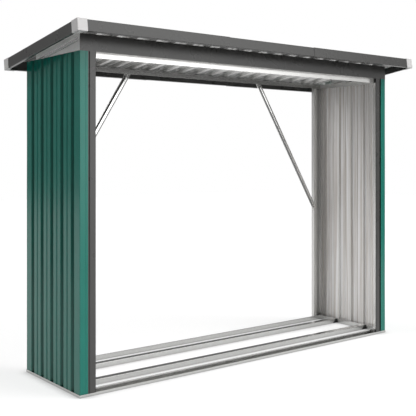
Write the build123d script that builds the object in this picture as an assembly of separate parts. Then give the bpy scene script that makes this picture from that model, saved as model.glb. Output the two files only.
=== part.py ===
from build123d import *
import math
import os

# Log store: steel frame, two ribbed end walls and a ribbed roof that falls to the back.
# Millimetres. X runs along the opening, Y from front to back, Z up from the ground.

# Overall sizes, to the outer planes of the wall sheets
WALL_LENGTH = 2008.0
WALL_DEPTH = 520.0
WALL_TOP = 1480.0
ROOF_FALL_DEGREES = 7.95
SIDE_OVERHANG = 81.0
FRONT_OVERHANG = 124.0
REAR_OVERHANG = 75.0

# Inner radius of the bends in folded steel, where the steel is thick enough for it
BEND_RADIUS = 1.0

# Ribbed sheet of the walls and the roof, with a fine bead between the ribs of the walls
SHEET = 1.0
WALL_RIB_COUNT = 5
WALL_RIB_MOUTH = 30.0
WALL_RIB_FLOOR = 17.0
WALL_RIB_DEPTH = 11.0
WALL_RIB_INSET = 66.0
WALL_BEAD_MOUTH = 7.0
WALL_BEAD_DEPTH = 1.6
CORNER_RETURN = 39.0
ROOF_RIBS_PER_SHEET = 7
ROOF_RIB_INSET = 43.2
ROOF_RIB_MOUTH = 34.0
ROOF_RIB_FLOOR = 20.0
ROOF_RIB_DEPTH = 16.0

# Base ring: a channel with a low outer lip and a taller inner lip
BASE_STEEL = 1.5
BASE_OUTER_LIP = 12.5
BASE_INNER_LIP = 26.0

# Floor rails: inverted channels lying between the side base rails, with a plug in each end
FLOOR_RAIL_WIDTH = 32.0
FLOOR_RAIL_HEIGHT = 25.0
FLOOR_RAIL_STEEL = 1.5
FLOOR_RAIL_INSET = 146.0
PLUG_FOOT = 27.0
PLUG_SHOULDER = 9.0
PLUG_TONGUE = 14.0

# Corner posts: lipped channels with a swage down the web
POST_STEEL = 1.5
POST_WIDTH = 77.5
POST_DEPTH = 24.0
POST_INNER_LIP = 22.0
POST_WALL_LIP = 12.0
SWAGE_MOUTH = 20.0
SWAGE_FLOOR = 12.0
SWAGE_DEPTH = 4.0

# Top ring: angles whose web lies on the posts, a little inside the sheets' outer planes
RAIL_STEEL = 1.5
RAIL_LIP = 25.0
RAIL_SETBACK = 1.5

# Header and gables, between the top ring and the roof
HEADER_STEEL = 1.5
HEADER_FLANGE = 15.0
GABLE_STEEL = 1.2
GABLE_FLANGE = 18.0
GABLE_TIP_HEIGHT = 14.0
GABLE_BAND = 13.0
GABLE_GROOVE = 18.0
GABLE_GROOVE_FLOOR = 9.0
GABLE_GROOVE_DEPTH = 5.0

# Knee braces in the rear plane: pressed channels with flat ends
BRACE_STEEL = 2.0
BRACE_WIDTH = 30.0
BRACE_RIM = 2.0
BRACE_DEPTH = 8.0
BRACE_FLANK_DEGREES = 41.0
BRACE_FLAT_END = 50.0
BRACE_TOP_INSET = 556.0
BRACE_BOTTOM_HEIGHT = 702.5

# Roof trim: a channel round the edge of the sheets
TRIM_STEEL = 1.2
TRIM_HEIGHT = 50.0
TRIM_COVER = 28.0
TRIM_RETURN = 14.0
TRIM_LAP = 25.0
FRONT_SEAM_LEFT = 806.0
FRONT_SEAM_RIGHT = 1370.0
CAP_STEEL = 2.0
CAP_LENGTH = 46.0
CAP_CORNER_RADIUS = 3.0

# Black blocks beside the front posts, in the base channel and under the front top rail
BLOCK_WIDTH = 6.0
BLOCK_FOOT = 12.0
BLOCK_DEPTH = 12.0

# Sizes that follow from the ones above
fall = math.radians(ROOF_FALL_DEGREES)
roof_build_up = 2 * TRIM_STEEL + SHEET + ROOF_RIB_DEPTH
trim_length = WALL_LENGTH + 2 * SIDE_OVERHANG
trim_slope = (FRONT_OVERHANG + WALL_DEPTH + REAR_OVERHANG) / math.cos(fall)
front_reach = FRONT_OVERHANG + (TRIM_HEIGHT + CAP_STEEL) * math.sin(fall) + CAP_STEEL * math.cos(fall)
rear_reach = REAR_OVERHANG + CAP_STEEL * (math.sin(fall) + math.cos(fall))
front_plane = (front_reach - rear_reach - WALL_DEPTH) / 2
rear_plane = front_plane + WALL_DEPTH
side_plane = WALL_LENGTH / 2
post_face = SHEET + POST_DEPTH
base_width = post_face + 2 * BASE_STEEL
base_inner = post_face + BASE_STEEL
top_rail_width = post_face + BRACE_STEEL + RAIL_STEEL
posts_low = BASE_STEEL + BEND_RADIUS
posts_high = WALL_TOP - RAIL_STEEL


def seat_height(y):
    """Height of the plane that the roof ribs rest on, at a distance along Y."""
    return WALL_TOP + (rear_plane - y) * math.tan(fall)


def roof_plane():
    """Plane of the top of the trim, its origin at the middle of the front edge."""
    front = front_plane - FRONT_OVERHANG
    height = seat_height(front) + roof_build_up / math.cos(fall)
    normal = (0, math.sin(fall), math.cos(fall))
    return Plane(origin=(0, front, height), x_dir=(1, 0, 0), z_dir=normal)


def folded(path, thickness):
    """Face of a sheet folded along a path with round bends, its thickness to the left of the path."""
    corners = [Vector(*point) for point in path]
    runs = [(end - start).normalized() for start, end in zip(corners, corners[1:])]
    sides = [Vector(-run.Y, run.X) for run in runs]
    left = [corners[0] + sides[0] * thickness]
    for corner, before, after in zip(corners[1:], sides, sides[1:]):
        mitre = before + after
        left.append(corner + mitre * (thickness / mitre.dot(before)))
    left.append(corners[-1] + sides[-1] * thickness)
    face = make_face(Polyline(*corners, *reversed(left), close=True))
    radius = min(BEND_RADIUS, thickness)
    tight = []
    wide = []
    for index in range(1, len(runs)):
        turns_left = runs[index - 1].cross(runs[index]).Z > 0
        tight.append(left[index] if turns_left else corners[index])
        wide.append(corners[index] if turns_left else left[index])
    for points, bend in ((tight, radius), (wide, radius + thickness)):
        bends = [face.vertices().sort_by_distance(point)[0] for point in points]
        face = fillet(bends, bend)
    return face


def rib(centre, mouth, floor, depth):
    """Points of a rib that drops by depth from a flat sheet."""
    return [
        (centre - mouth / 2, 0),
        (centre - floor / 2, -depth),
        (centre + floor / 2, -depth),
        (centre + mouth / 2, 0),
    ]


def bead(centre, mouth, depth):
    """Points of a fine bead that drops by depth from a flat sheet."""
    return [(centre - mouth / 2, 0), (centre, -depth), (centre + mouth / 2, 0)]


def spaced(count, pitch):
    """Places of a row of equal steps, centred on zero."""
    return [(index - (count - 1) / 2) * pitch for index in range(count)]


def mitred_run(path, thickness, length):
    """Folded section along X, outer face on y = 0, with both ends mitred to turn a corner."""
    depth = max(point[0] for point in path)
    low = min(point[1] for point in path)
    high = max(point[1] for point in path)
    bar = extrude(Plane.YZ * folded(path, thickness), amount=length / 2, both=True)
    half = length / 2
    plan = Polyline((-half, 0), (half, 0), (half - depth, depth), (depth - half, depth), close=True)
    return bar & extrude(Pos(0, 0, low) * make_face(plan), amount=high - low)


def ring(path, thickness, length, depth):
    """Four mitred runs round a rectangle: front, rear, left and right."""
    long_run = mitred_run(path, thickness, length)
    short_run = mitred_run(path, thickness, depth)
    return {
        "front": Pos(0, -depth / 2, 0) * long_run,
        "rear": Pos(0, depth / 2, 0) * Rot(0, 0, 180) * long_run,
        "left": Pos(-length / 2, 0, 0) * Rot(0, 0, -90) * short_run,
        "right": Pos(length / 2, 0, 0) * Rot(0, 0, 90) * short_run,
    }


def between(shape, start, stop):
    """The stretch of a shape from one X to another."""
    reach = 2 * trim_length
    return shape & Pos((start + stop) / 2, 0, 0) * Box(stop - start, reach, reach)


def base_rails():
    """Channel ring on the ground that the sheets and posts stand in."""
    path = [(0, BASE_OUTER_LIP), (0, 0), (base_width, 0), (base_width, BASE_INNER_LIP)]
    rails = ring(path, BASE_STEEL, WALL_LENGTH + 2 * BASE_STEEL, WALL_DEPTH + 2 * BASE_STEEL)
    middle = Pos(0, (front_plane + rear_plane) / 2, 0)
    return {f"base_{side}_rail": middle * rail for side, rail in rails.items()}


def top_rails():
    """Angle ring on the posts, its lips hanging inside."""
    path = [(top_rail_width, -RAIL_LIP), (top_rail_width, 0), (RAIL_SETBACK, 0)]
    rails = ring(path, RAIL_STEEL, WALL_LENGTH, WALL_DEPTH)
    middle = Pos(0, (front_plane + rear_plane) / 2, WALL_TOP)
    return {f"{side}_top_rail": middle * rail for side, rail in rails.items()}


def floor_rail():
    """Inverted channel along X, centred on its own length and width, standing on z = 0."""
    half = FLOOR_RAIL_WIDTH / 2
    path = [(half, 0), (half, FLOOR_RAIL_HEIGHT), (-half, FLOOR_RAIL_HEIGHT), (-half, 0)]
    bar = extrude(Plane.YZ * folded(path, FLOOR_RAIL_STEEL), amount=side_plane - base_inner, both=True)
    left = Pos(base_inner - side_plane, 0, 0) * plug_head()
    return bar - left - mirror(left, about=Plane.YZ)


def plug_head():
    """Slanted block that fills the cut-back flanges at the left end of a floor rail."""
    height = FLOOR_RAIL_HEIGHT - FLOOR_RAIL_STEEL
    side = Polyline((0, 0), (PLUG_FOOT, 0), (PLUG_SHOULDER, height), (0, height), close=True)
    return extrude(Plane.XZ * make_face(side), amount=FLOOR_RAIL_WIDTH / 2, both=True)


def rail_plug():
    """Black plug at the left end of a floor rail: the slanted head and a tongue inside the channel."""
    inside = FLOOR_RAIL_WIDTH - 2 * (FLOOR_RAIL_STEEL + BEND_RADIUS)
    height = FLOOR_RAIL_HEIGHT - FLOOR_RAIL_STEEL
    tongue = Box(PLUG_FOOT + PLUG_TONGUE, inside, height, align=(Align.MIN, Align.CENTER, Align.MIN))
    return plug_head() + tongue


def floor_rails():
    """Two floor rails and the plugs in their four ends."""
    places = {"front": front_plane + FLOOR_RAIL_INSET, "rear": rear_plane - FLOOR_RAIL_INSET}
    nodes = {}
    plugs = []
    for name, y in places.items():
        nodes[f"floor_rail_{name}"] = Pos(0, y, 0) * floor_rail()
        left = Pos(base_inner - side_plane, y, 0) * rail_plug()
        plugs += [left, mirror(left, about=Plane.YZ)]
    nodes["floor_rail_brackets"] = Compound(children=plugs)
    return nodes


def corner_blocks():
    """Black blocks beside the feet and the heads of the front posts."""
    across = SHEET + POST_WIDTH - side_plane
    behind = front_plane + SHEET
    height = BASE_INNER_LIP - BASE_STEEL
    side = Polyline((0, 0), (BLOCK_FOOT, 0), (BLOCK_WIDTH, height), (0, height), close=True)
    foot = extrude(Plane.XZ * make_face(side), amount=-BLOCK_DEPTH)
    base = Pos(across, behind, BASE_STEEL) * foot
    head = Box(BLOCK_WIDTH, BLOCK_DEPTH, RAIL_LIP - RAIL_STEEL, align=(Align.MIN, Align.MIN, Align.MAX))
    top = Pos(across, behind, posts_high) * head
    return {
        "front_base_brackets": Compound(children=[base, mirror(base, about=Plane.YZ)]),
        "front_top_brackets": Compound(children=[top, mirror(top, about=Plane.YZ)]),
    }


def post():
    """Lipped channel with a swaged web, standing at the front left corner of its own frame."""
    middle = POST_WIDTH / 2
    path = [(POST_WALL_LIP, POST_DEPTH), (0, POST_DEPTH), (0, 0)]
    path += [(middle - SWAGE_MOUTH / 2, 0), (middle - SWAGE_FLOOR / 2, SWAGE_DEPTH)]
    path += [(middle + SWAGE_FLOOR / 2, SWAGE_DEPTH), (middle + SWAGE_MOUTH / 2, 0)]
    path += [(POST_WIDTH, 0), (POST_WIDTH, POST_DEPTH), (POST_WIDTH - POST_INNER_LIP, POST_DEPTH)]
    return extrude(folded(path, POST_STEEL), amount=posts_high - posts_low)


def posts():
    """Four corner posts, just inside the return flanges of the wall sheets."""
    front_left = Pos(SHEET - side_plane, front_plane + SHEET, posts_low) * post()
    middle_plane = Plane.XZ.offset(-(front_plane + rear_plane) / 2)
    rear_left = mirror(front_left, about=middle_plane)
    return {
        "post_front_left": front_left,
        "post_front_right": mirror(front_left, about=Plane.YZ),
        "post_rear_left": rear_left,
        "post_rear_right": mirror(rear_left, about=Plane.YZ),
    }


def wall_sheets():
    """Ribbed end walls, folded round the posts at the front and the back."""
    centre = (front_plane + rear_plane) / 2
    pitch = (WALL_DEPTH - 2 * WALL_RIB_INSET) / (WALL_RIB_COUNT - 1)
    row = []
    for place in spaced(WALL_RIB_COUNT, pitch):
        if row:
            row += bead(place - pitch / 2, WALL_BEAD_MOUTH, WALL_BEAD_DEPTH)
        row += rib(place, WALL_RIB_MOUTH, WALL_RIB_FLOOR, WALL_RIB_DEPTH)
    path = [(CORNER_RETURN, rear_plane), (0, rear_plane)]
    path += [(-drop, centre - along) for along, drop in row]
    path += [(0, front_plane), (CORNER_RETURN, front_plane)]
    sheet = extrude(folded(path, SHEET), amount=posts_high - posts_low)
    left = Pos(-side_plane, 0, posts_low) * sheet
    return {"left_wall_sheet": left, "right_wall_sheet": mirror(left, about=Plane.YZ)}


def header():
    """Channel over the opening, its top flange lying along the fall of the roof."""
    back = front_plane + HEADER_FLANGE
    path = [(back, seat_height(back)), (front_plane, seat_height(front_plane))]
    path += [(front_plane, WALL_TOP), (back, WALL_TOP)]
    half_length = side_plane - GABLE_STEEL
    return {"header_beam": extrude(Plane.YZ * folded(path, HEADER_STEEL), amount=half_length, both=True)}


def wedge(front, rear, depth, above=0.0):
    """Block on the side rail up to the slope of the roof or above it, from one Y to another."""
    rise = above / math.cos(fall)
    tops = [(rear, seat_height(rear) + rise), (front, seat_height(front) + rise)]
    outline = Polyline((front, WALL_TOP), (rear, WALL_TOP), *tops, close=True)
    return extrude(Plane.YZ * make_face(outline), amount=depth)


def gables():
    """Plates that fill the wedges up to the roof sheets, flanged at the head and the foot, with a groove."""
    front = front_plane + HEADER_FLANGE
    rear = rear_plane - GABLE_TIP_HEIGHT / math.tan(fall)
    groove_end = -GABLE_BAND - GABLE_GROOVE
    flank = (GABLE_GROOVE - GABLE_GROOVE_FLOOR) / 2
    path = [(GABLE_FLANGE, ROOF_RIB_DEPTH), (0, ROOF_RIB_DEPTH), (0, -GABLE_BAND)]
    path += [(GABLE_GROOVE_DEPTH, -GABLE_BAND - flank), (GABLE_GROOVE_DEPTH, groove_end + flank)]
    path += [(0, groove_end), (0, -WALL_DEPTH * math.tan(fall))]
    # The section is carried up the slope of the roof, from the rear to the front.
    slope = Plane(origin=(0, rear_plane, WALL_TOP), x_dir=(1, 0, 0), z_dir=(0, -math.cos(fall), math.sin(fall)))
    run = (WALL_DEPTH + ROOF_RIB_DEPTH) / math.cos(fall)
    plate = extrude(slope * folded(path, GABLE_STEEL), amount=run)
    foot = Box(GABLE_FLANGE, rear - front, GABLE_STEEL, align=(Align.MIN, Align.MIN, Align.MIN))
    plate = plate + Pos(0, front, WALL_TOP) * foot
    gable = plate & wedge(front, rear, GABLE_FLANGE, ROOF_RIB_DEPTH)
    left = Pos(-side_plane, 0, 0) * (gable + wedge(front_plane, front, GABLE_STEEL))
    return {"left_gable": left, "right_gable": mirror(left, about=Plane.YZ)}


def brace_bar(length):
    """Strip along X, pressed into a channel between its flat ends, its front face on z = BRACE_STEEL."""
    flank = math.radians(BRACE_FLANK_DEGREES)
    spread = BRACE_STEEL * (1 / math.cos(flank) - math.tan(flank))
    pressed = length - 2 * BRACE_FLAT_END
    mouth = BRACE_WIDTH - 2 * BRACE_RIM
    back = Rectangle(pressed + 2 * spread, mouth + 2 * spread)
    shell = extrude(back, amount=BRACE_DEPTH, taper=BRACE_FLANK_DEGREES)
    hollow = extrude(Rectangle(pressed, mouth), amount=BRACE_DEPTH, taper=BRACE_FLANK_DEGREES)
    strip = Box(length, BRACE_WIDTH, BRACE_STEEL, align=(Align.CENTER, Align.CENTER, Align.MAX))
    bar = shell + strip - Pos(0, 0, -BRACE_STEEL) * hollow
    return mirror(bar, about=Plane.XY)


def braces():
    """Knee braces between the lip of the rear top rail and the inner lips of the rear posts."""
    bottom = Vector(SHEET + POST_WIDTH, BRACE_BOTTOM_HEIGHT)
    top = Vector(BRACE_TOP_INSET, posts_high - BRACE_WIDTH / 2)
    middle = (bottom + top) / 2
    run = top - bottom
    angle = math.degrees(math.atan2(run.Y, run.X))
    # In this plane X runs inwards, Y up and Z to the front.
    face = Plane(origin=(-side_plane, rear_plane - post_face, 0), x_dir=(1, 0, 0), z_dir=(0, -1, 0))
    left = face * Pos(middle.X, middle.Y, 0) * Rot(0, 0, angle) * brace_bar(run.length)
    return {"brace_left": left, "brace_right": mirror(left, about=Plane.YZ)}


def roof_sheets():
    """Ribbed sheets side by side, from trim to trim, their ribs resting on the frame."""
    down = 2 * TRIM_STEEL
    inset = down + BEND_RADIUS
    pitch = (trim_length - 2 * ROOF_RIB_INSET) / (3 * ROOF_RIBS_PER_SHEET - 1)
    width = ROOF_RIBS_PER_SHEET * pitch
    half = trim_length / 2 - TRIM_STEEL
    edges = [-half, -width / 2, width / 2, half]
    slope = trim_slope - 2 * inset
    nodes = {}
    for index, name in enumerate(("left", "middle", "right")):
        path = [(edges[index], 0)]
        for place in spaced(ROOF_RIBS_PER_SHEET, pitch):
            path += rib(place + (index - 1) * width, ROOF_RIB_MOUTH, ROOF_RIB_FLOOR, ROOF_RIB_DEPTH)
        path += [(edges[index + 1], 0)]
        section = folded(path[::-1], SHEET)
        # The section stands across the slope, on a plane whose normal runs down to the front.
        sheet = Pos(0, inset + slope, -down) * extrude(Plane.XZ * section, amount=slope)
        nodes[f"roof_sheet_{name}"] = roof_plane() * sheet
    return nodes


def trim_path(inset):
    """Trim section: cover, face and bottom return, drawn inwards by the inset where pieces lap."""
    low = inset - TRIM_HEIGHT
    return [(TRIM_COVER, -inset), (inset, -inset), (inset, low), (TRIM_RETURN, low)]


def roof_trims():
    """Trim on all four edges, in three lengths at the front and the back."""
    outer = ring(trim_path(0), TRIM_STEEL, trim_length, trim_slope)
    inner = ring(trim_path(TRIM_STEEL), TRIM_STEEL, trim_length, trim_slope)
    half = trim_length / 2
    left_seam = FRONT_SEAM_LEFT - half
    right_seam = FRONT_SEAM_RIGHT - half
    place = roof_plane() * Pos(0, trim_slope / 2, 0)
    nodes = {}
    for side in ("front", "rear"):
        nodes[f"roof_trim_{side}_left"] = between(outer[side], -half, left_seam)
        middle = between(inner[side], left_seam - TRIM_LAP, right_seam + TRIM_LAP)
        nodes[f"roof_trim_{side}_middle"] = middle
        nodes[f"roof_trim_{side}_right"] = between(outer[side], right_seam, half)
    for side in ("left", "right"):
        nodes[f"roof_trim_{side}"] = outer[side]
    return {name: place * trim for name, trim in nodes.items()}


def corner_caps():
    """Pale caps folded round the corners of the trim."""
    corner = (Align.MIN, Align.MIN, Align.MAX)
    reach = CAP_LENGTH + CAP_STEEL
    outside = Pos(-CAP_STEEL, -CAP_STEEL, CAP_STEEL) * Box(reach, reach, TRIM_HEIGHT + 2 * CAP_STEEL, align=corner)
    outside = fillet(outside.edges().filter_by(Axis.Z).sort_by(Axis.X)[:2].sort_by(Axis.Y)[:1], CAP_CORNER_RADIUS)
    inside = Box(reach, reach, TRIM_HEIGHT, align=corner)
    mouth = Pos(TRIM_RETURN, TRIM_RETURN, -TRIM_HEIGHT) * Box(reach, reach, CAP_STEEL, align=corner)
    front_left = Pos(-trim_length / 2, 0, 0) * (outside - inside - mouth)
    rear_left = mirror(front_left, about=Plane.XZ.offset(-trim_slope / 2))
    caps = {
        "corner_cap_front_left": front_left,
        "corner_cap_front_right": mirror(front_left, about=Plane.YZ),
        "corner_cap_rear_left": rear_left,
        "corner_cap_rear_right": mirror(rear_left, about=Plane.YZ),
    }
    return {name: roof_plane() * cap for name, cap in caps.items()}


def build():
    """Every node of the log store by name."""
    nodes = {}
    for sub_assembly in (
        base_rails,
        floor_rails,
        corner_blocks,
        posts,
        wall_sheets,
        top_rails,
        header,
        gables,
        braces,
        roof_sheets,
        roof_trims,
        corner_caps,
    ):
        nodes.update(sub_assembly())
    return nodes


os.makedirs("parts", exist_ok=True)
for node, shape in build().items():
    export_step(shape, f"parts/{node}.step")
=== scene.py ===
import logging
import math
from dataclasses import dataclass, field, replace
from enum import Enum
from typing import Callable, Sequence

import bmesh
import bpy
import numpy as np
from mathutils import Matrix, Vector


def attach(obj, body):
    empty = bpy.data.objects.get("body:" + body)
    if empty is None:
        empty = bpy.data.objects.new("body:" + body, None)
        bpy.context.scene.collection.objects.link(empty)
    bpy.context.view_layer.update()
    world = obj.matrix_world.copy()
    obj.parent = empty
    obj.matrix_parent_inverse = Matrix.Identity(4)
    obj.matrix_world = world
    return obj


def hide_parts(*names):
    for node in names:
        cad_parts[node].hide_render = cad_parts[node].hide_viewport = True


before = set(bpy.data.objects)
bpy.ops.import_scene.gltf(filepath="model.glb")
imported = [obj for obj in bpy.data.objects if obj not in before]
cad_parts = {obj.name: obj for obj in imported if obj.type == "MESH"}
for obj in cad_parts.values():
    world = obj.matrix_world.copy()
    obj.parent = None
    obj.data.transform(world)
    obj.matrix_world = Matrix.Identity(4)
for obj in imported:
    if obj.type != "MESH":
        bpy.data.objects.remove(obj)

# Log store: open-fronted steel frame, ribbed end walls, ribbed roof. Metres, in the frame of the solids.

Point = tuple[float, float]
Colour = tuple[float, float, float]
Socket = bpy.types.NodeSocket
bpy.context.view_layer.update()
MM = 0.001
WELD_REACH = 1e-7
SHARP_ANGLE = math.radians(38.0)
FACE_WEIGHT = 80
WHITE = (1.0, 1.0, 1.0, 1.0)
log = logging.getLogger("log_store")


class Slot(Enum):
    """Material slots that the record names."""

    ZINC = "galvanised_steel"
    DARK = "dark_paint"
    GREEN = "green_sheet"
    CAP = "pale_cap"
    BLACK = "black_bracket"


class Skin(Enum):
    """Faces of a sheet, by the index of the finish that they take; painted-shade ones are steep pressed
    flanks, dark as painted shade.
    """

    OUTSIDE = 0
    INSIDE = 1
    PAINTED_SHADE = 2


# Surfaces


@dataclass
class Surface:
    """A mesh as whole arrays: points, four-sided faces with unrolled places and skins, and flat caps."""

    points: np.ndarray
    quads: np.ndarray
    unrolled: np.ndarray
    skins: np.ndarray
    caps: list[np.ndarray] = field(default_factory=list)

    @classmethod
    def plain(cls, grid: np.ndarray, quads: np.ndarray, caps: Sequence[np.ndarray] = ()) -> "Surface":
        """Returns a surface with one skin, whose unrolled places are its X and Y.

        Args:
            grid: Points, in rows.
            quads: Point numbers of the four-sided faces.
            caps: Point numbers of the flat caps.

        Returns:
            The new surface.
        """
        points = grid.reshape(-1, 3)
        return cls(points, quads, points[quads][..., :2], np.zeros(len(quads), int), list(caps))

    def placed(self, place: Matrix) -> "Surface":
        """Returns the surface moved by a matrix, its faces turned over where the matrix mirrors.

        Args:
            place: Matrix from the surface's own axes to the store's.

        Returns:
            A new surface whose faces still point outwards.
        """
        matrix = np.array(place)
        points = self.points @ matrix[:3, :3].T + matrix[:3, 3]
        if np.linalg.det(matrix[:3, :3]) > 0:
            return replace(self, points=points)
        return Surface(
            points, self.quads[:, ::-1], self.unrolled[:, ::-1], self.skins, [cap[::-1] for cap in self.caps]
        )

    @staticmethod
    def joined(parts: Sequence["Surface"]) -> "Surface":
        """Returns one surface that holds several.

        Args:
            parts: The surfaces to put together.

        Returns:
            Their points and faces one after another, the faces numbered on.
        """
        starts = np.cumsum([0] + [len(part.points) for part in parts[:-1]])
        caps = [cap + start for part, start in zip(parts, starts) for cap in part.caps]
        return Surface(
            np.concatenate([part.points for part in parts]),
            np.concatenate([part.quads + start for part, start in zip(parts, starts)]),
            np.concatenate([part.unrolled for part in parts]),
            np.concatenate([part.skins for part in parts]),
            caps,
        )


def grid_faces(rows: int, columns: int, closed: bool) -> np.ndarray:
    """Returns the four corners of every cell of a grid of points, numbered row by row.

    Args:
        rows: Number of rows of points.
        columns: Number of points in a row.
        closed: Whether the last point of a row joins the first.

    Returns:
        An array of four point numbers for each cell, turning the same way.
    """
    across = np.arange(columns if closed else columns - 1)
    down = np.arange(rows - 1)[:, None] * columns
    beside = (across + 1) % columns
    corners = [down + across, down + beside, down + beside + columns, down + across + columns]
    return np.stack(corners, axis=-1).reshape(-1, 4)


def sheet_ends(rows: int, count: int) -> np.ndarray:
    """Returns the faces that close both ends of a sheet, from its right face across to its left one.

    Args:
        rows: Number of rows of points along the sheet.
        count: Number of points across each of its faces.

    Returns:
        An array of four point numbers for each face, the near end first.
    """
    right = np.arange(count - 1)
    left = 2 * count - 1 - right
    near = np.stack([right, left, left - 1, right + 1], axis=-1)
    far = np.stack([right, right + 1, left - 1, left], axis=-1)
    return np.concatenate([near, far + (rows - 1) * 2 * count])


def square_end(place: float) -> Callable[[np.ndarray], np.ndarray]:
    """Returns a square end at a place along the length, the same for each point of a section."""
    return lambda ring: np.full(len(ring), place)


@dataclass(frozen=True)
class Fold:
    """Sheet steel folded along a path, with its thickness to the left and round bends.

    Each bend is an arc about a centre that lies on the inner side of the bend, and the left face is
    the right face moved by the thickness along the normal, so the two faces stay parallel. Flats
    longer than the spacing are divided. Unrolled, the left face lies beyond the right one, with a gap.
    """

    path: Sequence[Point]
    steel: float
    bend: float = 1.0 * MM
    arc_steps: int = 4
    spacing: float = 1.0
    unrolled_gap: float = 50 * MM

    def stations(self) -> tuple[np.ndarray, np.ndarray]:
        """Follows the path round its bends.

        Returns:
            The points of the right face, and the unit normals there towards the left face.
        """
        corners = np.array(self.path, float)
        runs = np.diff(corners, axis=0)
        runs /= np.linalg.norm(runs, axis=1)[:, None]
        leftward = np.stack([-runs[:, 1], runs[:, 0]], axis=1)
        points, normals = [corners[:1]], [leftward[:1]]
        for corner, before, after in zip(corners[1:-1], leftward, leftward[1:]):
            turn = before[0] * after[1] - before[1] * after[0]
            reach = self.bend + self.steel if turn > 0 else -self.bend
            mitre = before + after
            centre = corner + mitre * (reach / mitre.dot(before))
            share = np.linspace(0.0, 1.0, self.arc_steps + 1)[:, None]
            blend = np.arccos(np.clip(before.dot(after), -1.0, 1.0))
            arc = (np.sin((1 - share) * blend) * before + np.sin(share * blend) * after) / np.sin(blend)
            points.append(centre - reach * arc)
            normals.append(arc)
        points.append(corners[-1:])
        normals.append(leftward[-1:])
        return self._filled(np.concatenate(points), np.concatenate(normals))

    def _filled(self, points: np.ndarray, normals: np.ndarray) -> tuple[np.ndarray, np.ndarray]:
        """Adds points along the long flats, so that they can ripple.

        Args:
            points: Points of the right face.
            normals: Normals at those points.

        Returns:
            The points and normals with every flat divided to the spacing.
        """
        lengths = np.linalg.norm(np.diff(points, axis=0), axis=1)
        counts = np.maximum(1, np.ceil(lengths / self.spacing)).astype(int)
        shares = np.concatenate([np.arange(count) / count for count in counts])[:, None]
        index = np.repeat(np.arange(len(counts)), counts)
        filled = points[index] * (1 - shares) + points[index + 1] * shares
        turned = normals[index] * (1 - shares) + normals[index + 1] * shares
        turned /= np.linalg.norm(turned, axis=1)[:, None]
        return np.concatenate([filled, points[-1:]]), np.concatenate([turned, normals[-1:]])

    def section(self) -> np.ndarray:
        """Returns the outline of the section: the right face, then the left face backwards."""
        right, normals = self.stations()
        return np.concatenate([right, (right + normals * self.steel)[::-1]])

    def carried(
        self,
        start: Callable[[np.ndarray], np.ndarray],
        stop: Callable[[np.ndarray], np.ndarray],
        rows: int = 2,
        ripple: "Ripple | None" = None,
    ) -> Surface:
        """Returns the folded section carried along X as a closed surface.

        A point's place along X is start + (stop - start) x its share of the length, and a ripple
        moves both faces by the same height along the normal.

        Args:
            start: Place along X of the near end, for each point of the section.
            stop: Place along X of the far end, for each point of the section.
            rows: Number of rows of points along the length.
            ripple: Unevenness of the sheet, or None.

        Returns:
            A surface whose section lies in Y and Z.
        """
        right, normals = self.stations()
        count = len(right)
        ring = self.section()
        share = np.linspace(0.0, 1.0, rows)[:, None]
        near, far = start(ring), stop(ring)
        along = near + (far - near) * share
        points = np.empty((rows, 2 * count, 3))
        points[..., 0] = along
        points[..., 1:] = ring
        distance = np.concatenate([[0.0], np.cumsum(np.linalg.norm(np.diff(right, axis=0), axis=1))])
        if ripple is not None:
            height = ripple.height(along[:, :count], distance)
            both = np.concatenate([height, height[:, ::-1]], axis=1)
            facing = np.concatenate([normals, normals[::-1]])
            points[..., 1:] += both[..., None] * facing
        quads = grid_faces(rows, 2 * count, closed=True)
        developed = np.concatenate([distance, distance[::-1] + distance[-1] + self.unrolled_gap])
        unrolled = np.stack([along, np.broadcast_to(developed, along.shape)], axis=-1).reshape(-1, 2)[quads]
        edge = np.arange(2 * count)
        skin = np.where(edge < count - 1, Skin.OUTSIDE.value, Skin.INSIDE.value)
        skin[[count - 1, 2 * count - 1]] = Skin.OUTSIDE.value
        skins = np.tile(skin, rows - 1)
        ends = sheet_ends(rows, count)
        flat_points = points.reshape(-1, 3)
        return Surface(
            flat_points,
            np.concatenate([quads, ends]),
            np.concatenate([unrolled, flat_points[ends][..., 1:]]),
            np.concatenate([skins, np.full(len(ends), Skin.OUTSIDE.value)]),
        )

    def bar(self, start: float, stop: float, rows: int = 2, ripple: "Ripple | None" = None) -> Surface:
        """Returns the section carried along X between two square ends."""
        return self.carried(square_end(start), square_end(stop), rows, ripple)

    def mitred(self, length: float) -> Surface:
        """Returns the section carried along X and cut at both ends to turn a square corner."""
        half = length / 2
        return self.carried(lambda ring: ring[:, 0] - half, lambda ring: half - ring[:, 0])


@dataclass(frozen=True)
class Ripple:
    """Slight unevenness of thin sheet: a few long waves along the sheet, changing from pan to pan."""

    depth: float
    wave: float
    seed: int
    orders: int = 3
    turn_across: float = 9.0

    def height(self, along: np.ndarray, distance: np.ndarray) -> np.ndarray:
        """Returns the height of the ripple: the sum of a few sine waves, each shorter and weaker.

        Wave number n has n crests to the wave length and 1 / n of the strength. Across the sheet its
        phase turns by turn_across radians a metre, times a random lean from 0.5 to 1.5.

        Args:
            along: Place along the sheet of every point, row by row.
            distance: Place of each point across the unrolled sheet.

        Returns:
            A height for every point, in metres.
        """
        random = np.random.default_rng(self.seed)
        total = np.zeros_like(along)
        for order in range(1, self.orders + 1):
            turn, lean = random.uniform(0.0, 2 * math.pi), random.uniform(0.5, 1.5)
            phase = 2 * math.pi * order * along / self.wave + turn
            total += np.sin(phase + lean * self.turn_across * distance) / order
        return self.depth * total / 2


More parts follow.
